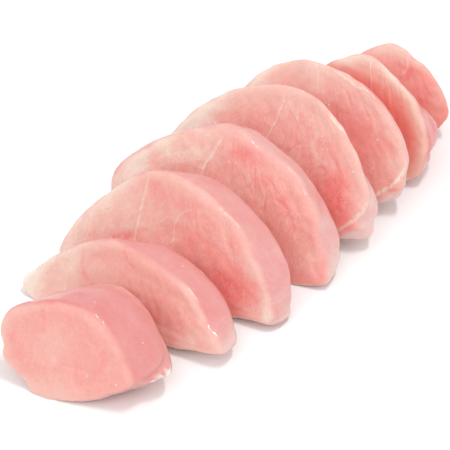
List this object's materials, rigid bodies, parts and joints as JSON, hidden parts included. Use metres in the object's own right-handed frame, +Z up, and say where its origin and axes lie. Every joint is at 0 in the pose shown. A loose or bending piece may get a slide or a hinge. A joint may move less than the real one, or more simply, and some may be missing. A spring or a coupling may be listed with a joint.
{
  "type": "turkey breast steak",
  "caption": "Raw pale pink poultry breast fillet cut across into thick boneless steaks that lie as a shingled row, each leaning back on the next.",
  "frame": {"origin": "on the resting surface, below the middle of the whole row's bounding box", "axes": "+Z up, +Y along the row from the small front slice towards the back, +X to the right of the front cut faces"},
  "size_m": [0.1092, 0.2726, 0.0562],
  "materials": {
    "raw_meat": "wet, softly glossy raw poultry meat"
  },
  "bodies": {
    "root": {"steak_1": "raw_meat", "steak_2": "raw_meat", "steak_3": "raw_meat", "steak_4": "raw_meat", "steak_5": "raw_meat", "steak_6": "raw_meat", "steak_7": "raw_meat", "steak_8": "raw_meat"}
  },
  "joints": []
}
